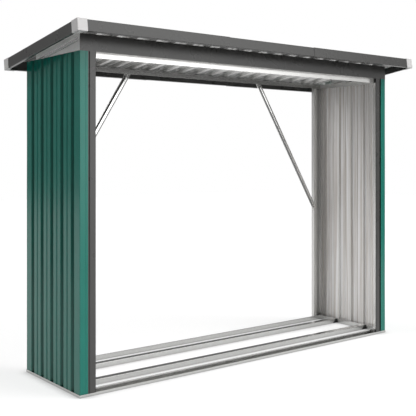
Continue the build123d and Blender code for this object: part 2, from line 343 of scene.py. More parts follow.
def block(outline: Sequence[Point], near: float, far: float, edge: float = 0.6 * MM) -> Surface:
    """Returns a closed block: an outline in Y and Z carried along X, its edges cut at an angle.

    The rings of points are the outline pulled towards its middle by the edge at both ends, and the
    full outline between them.

    Args:
        outline: Corners of the outline, counter-clockwise.
        near: Lower end along X.
        far: Upper end along X.
        edge: Width of the cut edges.

    Returns:
        A closed surface.
    """
    corners = np.array(outline, float)
    before = np.roll(corners, 1, axis=0) - corners
    after = np.roll(corners, -1, axis=0) - corners
    before /= np.linalg.norm(before, axis=1)[:, None]
    after /= np.linalg.norm(after, axis=1)[:, None]
    cut = np.stack([corners + before * edge, corners + after * edge], axis=1).reshape(-1, 2)
    inward = np.repeat((before + after) / np.linalg.norm(before + after, axis=1)[:, None], 2, axis=0)
    count = len(cut)
    small = cut + inward * edge
    places = np.array([near, near + edge, far - edge, far])
    rings = np.stack([small, cut, cut, small])
    points = np.concatenate([np.broadcast_to(places[:, None, None], (4, count, 1)), rings], axis=-1)
    caps = [np.arange(count)[::-1], np.arange(count) + 3 * count]
    return Surface.plain(points, grid_faces(4, count, closed=True), caps)


def box_outline(low: Point, high: Point) -> list[Point]:
    """Returns the four corners of an upright rectangle, counter-clockwise."""
    return [low, (high[0], low[1]), high, (low[0], high[1])]


def turned_about_z(degrees: float, place: Sequence[float]) -> Matrix:
    """Returns the matrix of a turn about Z followed by a move."""
    return Matrix.Translation(Vector(place)) @ Matrix.Rotation(math.radians(degrees), 4, "Z")


def from_axes(place: Sequence[float], x: Sequence[float], y: Sequence[float], z: Sequence[float]) -> Matrix:
    """Returns the matrix that puts a surface's own axes along three given ones.

    Args:
        place: Where the surface's own origin goes.
        x: Direction that its X axis takes.
        y: Direction that its Y axis takes.
        z: Direction that its Z axis takes.

    Returns:
        The matrix.
    """
    matrix = Matrix((x, y, z)).transposed().to_4x4()
    matrix.translation = Vector(place)
    return matrix


MIRROR_X = Matrix.Diagonal((-1.0, 1.0, 1.0, 1.0))
MIRROR_Y = Matrix.Diagonal((1.0, -1.0, 1.0, 1.0))


# Finishes


@dataclass(frozen=True)
class Noise:
    """Grain of a noise texture: its fineness, its number of octaves, and the strength of the finer ones."""

    scale: float
    detail: float
    roughness: float = 0.5


class Tree:
    """Shader nodes of a material or a world, added one by one with their inputs set."""

    def __init__(self, owner: bpy.types.Material | bpy.types.World) -> None:
        """Starts with no nodes.

        Args:
            owner: The material or world that the nodes belong to.
        """
        self.owner = owner
        owner.use_nodes = True
        self.nodes = owner.node_tree.nodes
        self.links = owner.node_tree.links
        self.nodes.clear()

    @classmethod
    def of_material(cls, name: str) -> "Tree":
        """Returns the empty nodes of a new material."""
        return cls(bpy.data.materials.new(name))

    def add(self, kind: str, settings: dict | None = None, **inputs: object) -> bpy.types.Node:
        """Adds a node, sets its properties, and fills or links its inputs.

        Args:
            kind: The node's type.
            settings: Properties of the node by name.
            inputs: Values or output sockets by the input's name, with underscores for spaces, or by
                the letter i and the input's number.

        Returns:
            The new node.
        """
        node = self.nodes.new(kind)
        for key, value in (settings or {}).items():
            setattr(node, key, value)
        for key, value in inputs.items():
            numbered = key[0] == "i" and key[1:].isdigit()
            socket = node.inputs[int(key[1:]) if numbered else key.replace("_", " ")]
            if isinstance(value, bpy.types.NodeSocket):
                self.links.new(value, socket)
            else:
                socket.default_value = value
        return node

    def noise(self, place: Socket, grain: Noise) -> Socket:
        """Returns a factor that varies from place to place as noise of a grain."""
        values = {"Scale": grain.scale, "Detail": grain.detail, "Roughness": grain.roughness}
        return self.add("ShaderNodeTexNoise", Vector=place, **values).outputs["Fac"]

    def drawn_out(self, place: Socket, scale: Point) -> Socket:
        """Returns unrolled places scaled along and across the sheet, so that a pattern is drawn out."""
        return self.add("ShaderNodeMapping", Vector=place, Scale=(*scale, 1.0)).outputs["Vector"]

    def varied(self, factor: Socket, colour: Colour, share: float, stops: Point) -> Socket:
        """Returns a colour that runs from darker to lighter as a factor rises.

        Args:
            factor: Socket that gives the place on the ramp.
            colour: The colour in the middle.
            share: How much darker and lighter the two ends are.
            stops: Factors where the ramp starts and where it stops.

        Returns:
            The colour socket.
        """
        ramp = self.add("ShaderNodeValToRGB", Fac=factor)
        ramp.color_ramp.interpolation = "EASE"
        for element, place, change in zip(ramp.color_ramp.elements, stops, (1 - share, 1 + share)):
            element.position = place
            element.color = (*tinted(colour, change), 1.0)
        return ramp.outputs["Color"]

    def between(self, factor: Socket, low: float, high: float) -> Socket:
        """Returns a factor from 0 to 1 spread between two values."""
        return self.add("ShaderNodeMapRange", Value=factor, To_Min=low, To_Max=high).outputs["Result"]

    def around(self, factor: Socket, middle: float, share: float) -> Socket:
        """Returns a value that a factor takes down and up from its middle by a share."""
        return self.between(factor, middle * (1 - share), middle * (1 + share))

    def relief(self, height: Socket, strength: float, depth: float) -> Socket:
        """Returns the normals of a surface whose fine relief has a height."""
        return self.add("ShaderNodeBump", Strength=strength, Distance=depth, Height=height).outputs["Normal"]

    def open_share(self, reach: float, samples: int = 16) -> Socket:
        """Returns 1 in the open, and less where other faces stand within a reach."""
        return self.add("ShaderNodeAmbientOcclusion", {"samples": samples}, Distance=reach).outputs["AO"]

    def shaded_in_creases(self, colour: Socket, open_share: Socket, low: float) -> Socket:
        """Returns a colour scaled down towards a low factor where little of the sky is open, as painted
        shade.
        """
        depth = self.between(open_share, low, 1.0)
        return self.add("ShaderNodeVectorMath", {"operation": "SCALE"}, i0=colour, Scale=depth).outputs[0]

    def seen(self, *kinds: str) -> Socket:
        """Tells some rays from all others.

        Args:
            kinds: Kinds of rays, as the Light Path node names them.

        Returns:
            A socket that is 1 for rays of any of the kinds, and 0 for all others.
        """
        path = self.add("ShaderNodeLightPath").outputs
        found = path[kinds[0]]
        for kind in kinds[1:]:
            found = self.add("ShaderNodeMath", {"operation": "MAXIMUM"}, i0=found, i1=path[kind]).outputs[0]
        return found

    def coated(
        self, colour: Socket, roughness: Socket, relief: Socket, metal: float = 0.0, gloss: float = 0.5
    ) -> bpy.types.Material:
        """Ends the material as one coat.

        Args:
            colour: Base colour over the surface.
            roughness: Roughness over the surface.
            relief: Normals of the fine relief.
            metal: Share of bare metal, from 0 to 1.
            gloss: Strength of the reflections where the coat isn't metal.

        Returns:
            The finished material.
        """
        values = {"Base Color": colour, "Roughness": roughness, "Normal": relief}
        values |= {"Metallic": metal, "Specular IOR Level": gloss}
        return self.finished(self.add("ShaderNodeBsdfPrincipled", **values))

    def finished(self, shader: bpy.types.Node) -> bpy.types.Material:
        """Joins a shader to the output.

        Args:
            shader: Node that gives the look of the whole surface.

        Returns:
            The finished material.
        """
        output = self.add("ShaderNodeOutputMaterial")
        self.links.new(shader.outputs[0], output.inputs["Surface"])
        return self.owner


def tinted(colour: Colour, factor: float) -> tuple[float, ...]:
    """Returns a colour made lighter or darker by a factor."""
    return tuple(min(1.0, channel * factor) for channel in colour)


@dataclass(frozen=True)
class Paint:
    """Factory paint on sheet steel: fine orange peel, faint mottling, and a satin gloss.

    A crease shade of 1 leaves creases as they are, and a smaller one is the share of the colour left there,
    as painted shade.
    Mottle and uneven are shares by which blotches shift the colour and the roughness.
    """

    name: str
    colour: Colour
    roughness: float
    gloss: float
    mottle: float = 0.08
    peel: float = 0.06
    crease_shade: float = 1.0
    crease_shade_reach: float = 30 * MM
    crease_shade_samples: int = 8
    blotches: Noise = Noise(7.0, 3.0)
    stops: Point = (0.2, 0.8)
    uneven: float = 0.15
    dimples: Noise = Noise(900.0, 2.0)
    dimple_depth: float = 0.4 * MM

    def material(self) -> bpy.types.Material:
        """Mixes the paint: a mottled base colour, darkened in creases as painted shade, under orange peel.

        Returns:
            The material.
        """
        tree = Tree.of_material(self.name)
        place = tree.add("ShaderNodeTexCoord").outputs["Object"]
        blotches = tree.noise(place, self.blotches)
        colour = tree.varied(blotches, self.colour, self.mottle, self.stops)
        # Painted shade: the colour darkens where other faces stand close, as in creases.
        if self.crease_shade < 1.0:
            open_share = tree.open_share(self.crease_shade_reach, self.crease_shade_samples)
            colour = tree.shaded_in_creases(colour, open_share, self.crease_shade)
        relief = tree.relief(tree.noise(place, self.dimples), self.peel, self.dimple_depth)
        roughness = tree.around(blotches, self.roughness, self.uneven)
        return tree.coated(colour, roughness, relief, gloss=self.gloss)


@dataclass(frozen=True)
class Zinc:
    """Galvanised steel: zinc spangle in small flakes, and fine rolling lines along the piece.

    Spangle and uneven are shares by which flakes and lines shift the colour and the roughness.
    """

    name: str
    colour: Colour
    roughness: float
    metal: float = 1.0
    spangle: float = 0.02
    flakes: float = 120.0
    lines: Noise = Noise(1.0, 3.0)
    line_scale: Point = (3.0, 420.0)
    line_share: float = 0.45
    stops: Point = (0.2, 0.8)
    uneven: float = 0.04
    dents: Noise = Noise(18.0, 1.0)
    dent_strength: float = 0.05
    dent_depth: float = 1.2 * MM

    def material(self) -> bpy.types.Material:
        """Mixes the zinc: flakes shift the shade and gloss, and drawn-out noise adds rolling lines.

        Returns:
            The material.
        """
        tree = Tree.of_material(self.name)
        place = tree.add("ShaderNodeTexCoord").outputs
        flakes = tree.add("ShaderNodeTexVoronoi", Vector=place["Object"], Scale=self.flakes)
        tone = tree.add("ShaderNodeSeparateColor", Color=flakes.outputs["Color"]).outputs["Red"]
        lines = tree.noise(tree.drawn_out(place["UV"], self.line_scale), self.lines)
        mix = tree.add("ShaderNodeMix", {"data_type": "FLOAT"}, Factor=self.line_share, i2=tone, i3=lines)
        colour = tree.varied(mix.outputs[0], self.colour, self.spangle, self.stops)
        roughness = tree.around(mix.outputs[0], self.roughness, self.uneven)
        relief = tree.relief(tree.noise(place["Object"], self.dents), self.dent_strength, self.dent_depth)
        return tree.coated(colour, roughness, relief, metal=self.metal)


@dataclass(frozen=True)
class Backing:
    """Pale backing coat on the inside of painted sheet: half glossy, streaked along the ribs.

    Streak and uneven are shares by which the streaks shift the colour and the roughness.
    """

    name: str
    colour: Colour
    streak: float
    roughness: float = 0.34
    metal: float = 0.35
    streaks: Noise = Noise(1.0, 4.0, 0.65)
    streak_scale: Point = (0.8, 70.0)
    stops: Point = (0.38, 0.62)
    uneven: float = 0.2
    grain: Noise = Noise(500.0, 2.0)
    grain_strength: float = 0.03
    grain_depth: float = 0.2 * MM

    def material(self) -> bpy.types.Material:
        """Mixes the coat: streaks from noise drawn out along the sheet, under fine grain.

        Returns:
            The material.
        """
        tree = Tree.of_material(self.name)
        place = tree.add("ShaderNodeTexCoord").outputs
        streaks = tree.noise(tree.drawn_out(place["UV"], self.streak_scale), self.streaks)
        colour = tree.varied(streaks, self.colour, self.streak, self.stops)
        relief = tree.relief(tree.noise(place["Object"], self.grain), self.grain_strength, self.grain_depth)
        roughness = tree.around(streaks, self.roughness, self.uneven)
        return tree.coated(colour, roughness, relief, metal=self.metal)


@dataclass
class Finishes:
    """Every finish of the store."""

    green: bpy.types.Material
    backing: bpy.types.Material
    roof_green: bpy.types.Material
    roof_backing: bpy.types.Material
    dark: bpy.types.Material
    zinc: bpy.types.Material
    frame_zinc: bpy.types.Material
    painted_light_gable_zinc: bpy.types.Material
    painted_light_zinc: bpy.types.Material
    painted_shade_zinc: bpy.types.Material
    cap: bpy.types.Material
    black: bpy.types.Material

    @classmethod
    def mixed(cls) -> "Finishes":
        """Mixes every finish.

        Returns:
            The finishes, with their colours as they look on the store.
        """
        green = (0.006, 0.170, 0.130)
        anthracite = (0.050, 0.0495, 0.0475)
        pale, roof_pale = (0.94, 0.885, 0.835), (0.67, 0.67, 0.66)
        cap, black = (0.62, 0.61, 0.605), (0.012, 0.012, 0.012)
        zinc, frame_zinc, painted_light_gable_zinc = (0.54, 0.54, 0.53), (0.74, 0.735, 0.72), (0.95, 0.95, 0.94)
        painted_light_zinc, painted_shade_zinc = (0.86, 0.86, 0.85), (0.17, 0.17, 0.17)
        mixes = {
            # The green paint darkens in its grooves as painted shade.
            "green": Paint("green_paint", green, roughness=0.20, gloss=0.36, mottle=0.05, crease_shade=0.35),
            "backing": Backing("pale_backing", pale, streak=0.24, metal=0.30),
            "roof_green": Paint("roof_green_paint", green, roughness=0.26, gloss=0.5, mottle=0.05),
            "roof_backing": Backing("roof_backing", roof_pale, streak=0.02, roughness=0.27, metal=0.50),
            "dark": Paint("anthracite_paint", anthracite, roughness=0.28, gloss=0.5, mottle=0.05),
            "zinc": Zinc("zinc_coat", zinc, roughness=0.24),
            "frame_zinc": Zinc("frame_zinc_coat", frame_zinc, roughness=0.22, metal=0.6),
            # A lighter copy of the zinc for the gables, painted light for their shaded place under the roof.
            "painted_light_gable_zinc": Zinc("gable_zinc_coat", painted_light_gable_zinc, roughness=0.42, metal=0.12),
            # A lighter copy of the zinc for the braces: painted light.
            "painted_light_zinc": Zinc("bright_zinc_coat", painted_light_zinc, roughness=0.20),
            # A dark zinc for pressed flanks: painted shade.
            "painted_shade_zinc": Zinc("drawn_zinc_coat", painted_shade_zinc, roughness=0.34),
            "cap": Paint("pale_cap_plastic", cap, roughness=0.38, gloss=0.6, mottle=0.04, peel=0.16),
            # The black on the plugs and corner blocks is painted shade.
            "black": Paint("painted_shade_black", black, roughness=0.45, gloss=0.4, mottle=0.15),
        }
        return cls(**{name: mix.material() for name, mix in mixes.items()})


# Pieces


def piece(
    name: str, surface: Surface, finishes: Sequence[bpy.types.Material], slot: Slot, nodes: Sequence[str]
) -> bpy.types.Object:
    """Makes an object of the store from a surface, dresses it and hides the solids that it replaces.

    Args:
        name: Name of the object.
        surface: Its points and faces.
        finishes: Materials of its outer, inner and painted-shade faces; faces past the last one take the
            last.
        slot: The record's material slot that it takes its finish from; not used.
        nodes: Names of the solids that it replaces.

    Returns:
        The new object.
    """
    mesh = bpy.data.meshes.new(name)
    faces = surface.quads.tolist() + [cap.tolist() for cap in surface.caps]
    mesh.from_pydata(surface.points.tolist(), [], faces)
    flat_caps = [surface.points[cap][:, 1:] for cap in surface.caps]
    layer = mesh.uv_layers.new(name="unrolled")
    places = np.concatenate([surface.unrolled.reshape(-1, 2)] + flat_caps)
    layer.data.foreach_set("uv", places.astype(np.float32).ravel())
    for finish in finishes:
        mesh.materials.append(finish)
    index = np.concatenate([surface.skins, np.zeros(len(surface.caps), int)])
    mesh.polygons.foreach_set("material_index", np.minimum(index, len(finishes) - 1).astype(np.int32))
    shell = bmesh.new()
    shell.from_mesh(mesh)
    bmesh.ops.remove_doubles(shell, verts=shell.verts, dist=WELD_REACH)
    bmesh.ops.dissolve_degenerate(shell, edges=shell.edges, dist=WELD_REACH)
    shell.to_mesh(mesh)
    shell.free()
    mesh.shade_smooth()
    mesh.set_sharp_from_angle(angle=SHARP_ANGLE)
    made = bpy.data.objects.new(name, mesh)
    bpy.context.scene.collection.objects.link(made)
    normals = made.modifiers.new("flat_faces", "WEIGHTED_NORMAL")
    normals.keep_sharp = True
    normals.weight = FACE_WEIGHT
    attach(made, "root")
    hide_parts(*nodes)
    log.info("%s: %d faces", name, len(mesh.polygons))
    return made


@dataclass(frozen=True)
class Store:
    """Overall sizes of the store and the planes that its pieces are set out from."""

    wall_length: float = 2008 * MM
    wall_depth: float = 520 * MM
    wall_top: float = 1480 * MM
    fall: float = math.radians(7.95)
    side_overhang: float = 81 * MM
    front_overhang: float = 124 * MM
    rear_overhang: float = 75 * MM
    front_plane: float = -232.04 * MM
    sheet: float = 1.0 * MM
    rail_steel: float = 1.5 * MM
    header_steel: float = 1.5 * MM
    brace_steel: float = 2 * MM
    foot_gap: float = 1.0 * MM
    post_depth: float = 24 * MM
    post_width: float = 77.5 * MM
    trim_steel: float = 1.2 * MM
    trim_height: float = 50 * MM
    roof_rib: float = 16 * MM

    @property
    def rear_plane(self) -> float:
        """Outer plane of the rear return flanges."""
        return self.front_plane + self.wall_depth

    @property
    def side(self) -> float:
        """Outer plane of the end walls, to the right."""
        return self.wall_length / 2

    @property
    def middle(self) -> float:
        """Middle of the store from front to back."""
        return (self.front_plane + self.rear_plane) / 2

    @property
    def post_face(self) -> float:
        """Depth from the outer plane to the inner face of the posts."""
        return self.sheet + self.post_depth

    @property
    def posts_low(self) -> float:
        """Height of the foot of the posts and sheets."""
        return self.rail_steel + self.foot_gap

    @property
    def posts_high(self) -> float:
        """Height of the head of the posts and sheets."""
        return self.wall_top - self.rail_steel

    @property
    def trim_length(self) -> float:
        """Length of the roof over its trim."""
        return self.wall_length + 2 * self.side_overhang

    @property
    def trim_slope(self) -> float:
        """Depth of the roof over its trim, along the slope."""
        return (self.front_overhang + self.wall_depth + self.rear_overhang) / math.cos(self.fall)

    def seat(self, y: float) -> float:
        """Returns the height of the plane that the roof ribs rest on."""
        return self.wall_top + (self.rear_plane - y) * math.tan(self.fall)

    def roof_frame(self) -> Matrix:
        """Sets out the roof from the height of its ribs over the front edge.

        Returns:
            The matrix of the roof: X along it, Y down the slope, Z out of it.
        """
        front = self.front_plane - self.front_overhang
        build_up = 2 * self.trim_steel + self.sheet + self.roof_rib
        height = self.seat(front) + build_up / math.cos(self.fall)
        sine, cosine = math.sin(self.fall), math.cos(self.fall)
        return from_axes((0, front, height), (1, 0, 0), (0, cosine, -sine), (0, sine, cosine))

    def ring(self, fold: Fold, length: float, depth: float) -> dict[str, Surface]:
        """Returns four mitred runs of a section round a rectangle.

        Args:
            fold: The section, its outer face on Y = 0.
            length: Length of the rectangle.
            depth: Depth of the rectangle.

        Returns:
            The front, rear, left and right run.
        """
        long_run, short_run = fold.mitred(length), fold.mitred(depth)
        return {
            "front": long_run.placed(turned_about_z(0, (0, -depth / 2, 0))),
            "rear": long_run.placed(turned_about_z(180, (0, depth / 2, 0))),
            "left": short_run.placed(turned_about_z(-90, (-length / 2, 0, 0))),
            "right": short_run.placed(turned_about_z(90, (length / 2, 0, 0))),
        }


def both_sides(name: str, left: Surface) -> list[tuple[str, Surface]]:
    """Returns a left-hand surface and its mirrored mate, with their names."""
    return [(name.format("left"), left), (name.format("right"), left.placed(MIRROR_X))]


@dataclass(frozen=True)
class BaseRing:
    """Channel rails on the ground that the sheets and posts stand in."""

    store: Store
    outer_lip: float = 12.5 * MM
    inner_lip: float = 26 * MM

    @property
    def width(self) -> float:
        """Outer width of the channel."""
        return self.store.post_face + 2 * self.store.rail_steel

    @property
    def inner(self) -> float:
        """Distance from the wall's outer plane to the innermost face of the channel."""
        return self.store.post_face + self.store.rail_steel

    def build(self, finishes: Finishes) -> None:
        """Makes the four rails.

        Args:
            finishes: Finishes of the store.
        """
        store = self.store
        path = [(0, self.outer_lip), (0, 0), (self.width, 0), (self.width, self.inner_lip)]
        length = store.wall_length + 2 * store.rail_steel
        depth = store.wall_depth + 2 * store.rail_steel
        for side, run in store.ring(Fold(path, store.rail_steel), length, depth).items():
            name = f"base_{side}_rail"
            moved = run.placed(Matrix.Translation((0, store.middle, 0)))
            piece(name + "_channel", moved, [finishes.zinc], Slot.ZINC, [name])


@dataclass(frozen=True)
class FloorRails:
    """Two inverted channels across the floor, their flanges cut back at a slant round black plugs, painted
    shade in the rail ends.
    """

    store: Store
    base: BaseRing
    width: float = 32 * MM
    height: float = 25 * MM
    steel: float = 1.5 * MM
    inset: float = 146 * MM
    shade_plug_foot: float = 27 * MM
    shade_plug_shoulder: float = 9 * MM
    shade_plug_tongue: float = 14 * MM
    shade_plug_play: float = 1.0 * MM
    tolerance: float = 0.001 * MM

    def rail(self) -> Surface:
        """Folds a rail whose flanges are cut back at a slant.

        Returns:
            The rail along X, standing on z = 0.
        """
        half = self.width / 2
        path = [(half, 0), (half, self.height), (-half, self.height), (-half, 0)]
        length = self.store.side - self.base.inner
        under = self.height - self.steel

        def cut(ring: np.ndarray) -> np.ndarray:
            """Returns how far each point of the section is cut back from the end."""
            slant = self.shade_plug_foot + (self.shade_plug_shoulder - self.shade_plug_foot) * ring[:, 1] / under
            return np.where(ring[:, 1] < under - self.tolerance, slant, 0.0)

        fold = Fold(path, self.steel)
        return fold.carried(lambda ring: cut(ring) - length, lambda ring: length - cut(ring))

    def shade_plug(self) -> Surface:
        """Puts a tongue that fits inside the channel on a slanted head, black as painted shade in the rail's
        end.

        Returns:
            The plug at the left end of a rail.
        """
        under = self.height - self.steel
        head_outline = [(0, 0), (self.shade_plug_foot, 0), (self.shade_plug_shoulder, under), (0, under)]
        lie = from_axes((self.base.inner - self.store.side, 0, 0), (0, -1, 0), (1, 0, 0), (0, 0, 1))
        head = block(head_outline, -self.width / 2, self.width / 2).placed(lie)
        half = self.width / 2 - self.steel - self.shade_plug_play
        low, high = (self.shade_plug_play, self.shade_plug_play), (self.shade_plug_foot + self.shade_plug_tongue, under)
        tongue = block(box_outline(low, high), -half, half).placed(lie)
        return Surface.joined([head, tongue])

    def build(self, finishes: Finishes) -> None:
        """Makes both rails and their four black plugs, which are painted shade.

        Args:
            finishes: Finishes of the store.
        """
        places = {"front": self.store.front_plane + self.inset, "rear": self.store.rear_plane - self.inset}
        shade_plugs = []
        for name, y in places.items():
            move = Matrix.Translation((0, y, 0))
            rail = self.rail().placed(move)
            piece(f"floor_rail_{name}_channel", rail, [finishes.zinc], Slot.ZINC, [f"floor_rail_{name}"])
            left = self.shade_plug().placed(move)
            shade_plugs += [left, left.placed(MIRROR_X)]
        # The plugs are painted shade: black where the rail ends lie in shade.
        joined = Surface.joined(shade_plugs)
        piece("floor_rail_shade_plugs", joined, [finishes.black], Slot.BLACK, ["floor_rail_brackets"])


@dataclass(frozen=True)
class CornerBlocks:
    """Black blocks in the sides of the front posts, at their feet and heads: painted shade beside the posts.
    """

    store: Store
    base: BaseRing
    width: float = 1.2 * MM
    foot: float = 2.5 * MM
    foot_depth: float = 12 * MM
    head_depth: float = 18 * MM
    rail_lip: float = 25 * MM

    def build(self, finishes: Finishes) -> None:
        """Makes the blocks in the base channel and those under the front top rail.

        Args:
            finishes: Finishes of the store.
        """
        store = self.store
        across = store.sheet + store.post_width - store.side
        behind = store.front_plane + store.sheet
        lie = from_axes((across, behind, 0), (0, 1, 0), (1, 0, 0), (0, 0, 1))
        low, top = store.rail_steel, self.base.inner_lip
        outline = [(0, low), (self.foot, low), (self.width, top), (0, top)]
        foot = block(outline, 0, self.foot_depth).placed(lie)
        high = store.posts_high
        head_outline = box_outline((0, high - self.rail_lip + store.rail_steel), (self.width, high))
        head = block(head_outline, 0, self.head_depth).placed(lie)
        # Painted shade: thin black blocks where the gaps beside the front posts lie in shade.
        for name, left in (("front_base_brackets", foot), ("front_top_brackets", head)):
            pair = Surface.joined([left, left.placed(MIRROR_X)])
            piece(name + "_shade_blocks", pair, [finishes.black], Slot.BLACK, [name])


@dataclass(frozen=True)
class Posts:
    """Lipped channels in the four corners; the front ones wear a dark cover with short returns."""

    store: Store
    steel: float = 1.5 * MM
    inner_lip: float = 22 * MM
    wall_lip: float = 12 * MM
    swage_mouth: float = 20 * MM
    swage_floor: float = 12 * MM
    swage_depth: float = 4 * MM
    cover: float = 0.7 * MM
    cover_return: float = 4.5 * MM

    def swage(self, down: float) -> list[Point]:
        """Draws the web with its swage.

        Args:
            down: Depth of the web below the outer face.

        Returns:
            The points of the web, from one edge to the other.
        """
        middle, width = self.store.post_width / 2, self.store.post_width
        return [
            (down, down),
            (middle - self.swage_mouth / 2, down),
            (middle - self.swage_floor / 2, down + self.swage_depth),
            (middle + self.swage_floor / 2, down + self.swage_depth),
            (middle + self.swage_mouth / 2, down),
            (width - down, down),
        ]

    def channel(self, down: float) -> Surface:
        """Folds a lipped channel as high as the posts.

        Args:
            down: Depth of its web below the outer face.

        Returns:
            The channel, standing along X.
        """
        depth, width = self.store.post_depth, self.store.post_width
        path = [(down + self.wall_lip, depth), (down, depth), *self.swage(down)]
        path += [(width - down, depth), (width - down - self.inner_lip, depth)]
        return Fold(path, self.steel - down).bar(self.store.posts_low, self.store.posts_high)

    def face(self) -> Surface:
        """Folds the dark cover: the web with its swage and two short returns.

        Returns:
            The cover, standing along X.
        """
        width = self.store.post_width
        path = [(0, self.cover_return), *self.swage(0), (width, self.cover_return)]
        return Fold(path, self.cover).bar(self.store.posts_low, self.store.posts_high)

    def build(self, finishes: Finishes) -> None:
        """Makes the four posts and the covers of the front ones.

        Args:
            finishes: Finishes of the store.
        """
        store = self.store
        corner = (store.sheet - store.side, store.front_plane + store.sheet, 0)
        stand = from_axes(corner, (0, 0, 1), (1, 0, 0), (0, 1, 0))
        to_rear = Matrix.Translation((0, store.middle, 0)) @ MIRROR_Y
        to_rear = to_rear @ Matrix.Translation((0, -store.middle, 0))
        shapes = (
            ("front", "channel", self.channel(self.cover).placed(stand), finishes.frame_zinc, Slot.ZINC),
            ("front", "cover", self.face().placed(stand), finishes.dark, Slot.DARK),
            ("rear", "channel", self.channel(0.0).placed(to_rear @ stand), finishes.frame_zinc, Slot.ZINC),
        )
        for row, shape, left, finish, slot in shapes:
            for name, surface in both_sides(f"post_{row}_{{}}", left):
                piece(f"{name}_{shape}", surface, [finish], slot, [name])


@dataclass(frozen=True)
class WallSheets:
    """Ribbed end walls folded round the posts, green outside and pale inside."""

    store: Store
    ribs: int = 5
    rib_inset: float = 66 * MM
    mouth: float = 30 * MM
    floor: float = 17 * MM
    depth: float = 11 * MM
    bead_mouth: float = 12 * MM
    bead_depth: float = 3.4 * MM
    corner_return: float = 39 * MM
    hem: float = 10.5 * MM
    hem_rise: float = 0.7 * MM
    ripple: Ripple = Ripple(0.35 * MM, 0.9, 4)

    def path(self) -> list[Point]:
        """Draws the sheet in plan.

        Returns:
            The points of its path, from the rear return flange to the front one.
        """
        store = self.store
        pitch = (store.wall_depth - 2 * self.rib_inset) / (self.ribs - 1)
        points: list[Point] = []
        for index in range(self.ribs):
            centre = (index - (self.ribs - 1) / 2) * pitch
            if index:
                bead, half = centre - pitch / 2, self.bead_mouth / 2
                points += [(bead - half, 0), (bead, -self.bead_depth), (bead + half, 0)]
            points += [(centre - self.mouth / 2, 0), (centre - self.floor / 2, -self.depth)]
            points += [(centre + self.floor / 2, -self.depth), (centre + self.mouth / 2, 0)]
        front, rear = store.front_plane, store.rear_plane
        fold, step = self.corner_return - self.hem, self.hem_rise
        rear_end = [(self.corner_return, rear + step), (fold + step, rear + step)]
        rear_end += [(fold - step, rear), (0, rear)]
        front_end = [(x, front - (y - rear)) for x, y in reversed(rear_end)]
        return rear_end + [(-drop, store.middle - along) for along, drop in points] + front_end

    def build(self, finishes: Finishes) -> None:
        """Makes both walls.

        Args:
            finishes: Finishes of the store.
        """
        store = self.store
        fold = Fold(self.path(), store.sheet, bend=0.7 * MM, arc_steps=3, spacing=9 * MM)
        sheet = fold.bar(store.posts_low, store.posts_high, rows=60, ripple=self.ripple)
        stand = from_axes((-store.side, 0, 0), (0, 0, 1), (1, 0, 0), (0, 1, 0))
        for name, wall in both_sides("{}_wall_sheet", sheet.placed(stand)):
            piece(name + "_ribbed", wall, [finishes.green, finishes.backing], Slot.GREEN, [name])


@dataclass(frozen=True)
class TopRing:
    """Angle rails on the posts, their lips hanging inside."""

    store: Store
    lip: float = 25 * MM
    setback: float = 1.5 * MM

    def build(self, finishes: Finishes) -> None:
        """Makes the four rails.

        Args:
            finishes: Finishes of the store.
        """
        store = self.store
        width = store.post_face + store.brace_steel + store.rail_steel
        fold = Fold([(width, -self.lip), (width, 0), (self.setback, 0)], store.rail_steel)
        for side, run in store.ring(fold, store.wall_length, store.wall_depth).items():
            moved = run.placed(Matrix.Translation((0, store.middle, store.wall_top)))
            name = f"{side}_top_rail"
            # The rear rail takes the darker zinc as painted shade, where it lies under the roof.
            finish = finishes.zinc if side == "rear" else finishes.frame_zinc
            piece(name + "_angle", moved, [finish], Slot.ZINC, [name])


@dataclass(frozen=True)
class Header:
    """Dark channel over the opening, its top flange lying along the fall of the roof."""

    store: Store
    flange: float = 15 * MM
    top_flange: float = 40 * MM
    drop: float = 1.4 * MM
    end_gap: float = 7.5 * MM
    ripple: Ripple = Ripple(0.2 * MM, 1.1, 9)

    def build(self, finishes: Finishes) -> None:
        """Makes the header.

        Args:
            finishes: Finishes of the store.
        """
        store = self.store
        steel, front = store.header_steel, store.front_plane
        web = Fold([(front, store.seat(front)), (front, store.wall_top - self.drop)], steel, spacing=12 * MM)
        front_face = web.bar(-store.side, store.side, rows=50, ripple=self.ripple)
        nose, half = front + steel, store.side - self.end_gap
        deep, back = front + self.top_flange, front + self.flange
        upper = Fold([(deep, store.seat(deep)), (nose, store.seat(nose))], steel)
        lower = Fold([(nose, store.wall_top), (back, store.wall_top)], steel)
        beam = Surface.joined([front_face, upper.bar(-half, half), lower.bar(-half, half)])
        piece("header_beam_channel", beam, [finishes.dark], Slot.DARK, ["header_beam"])


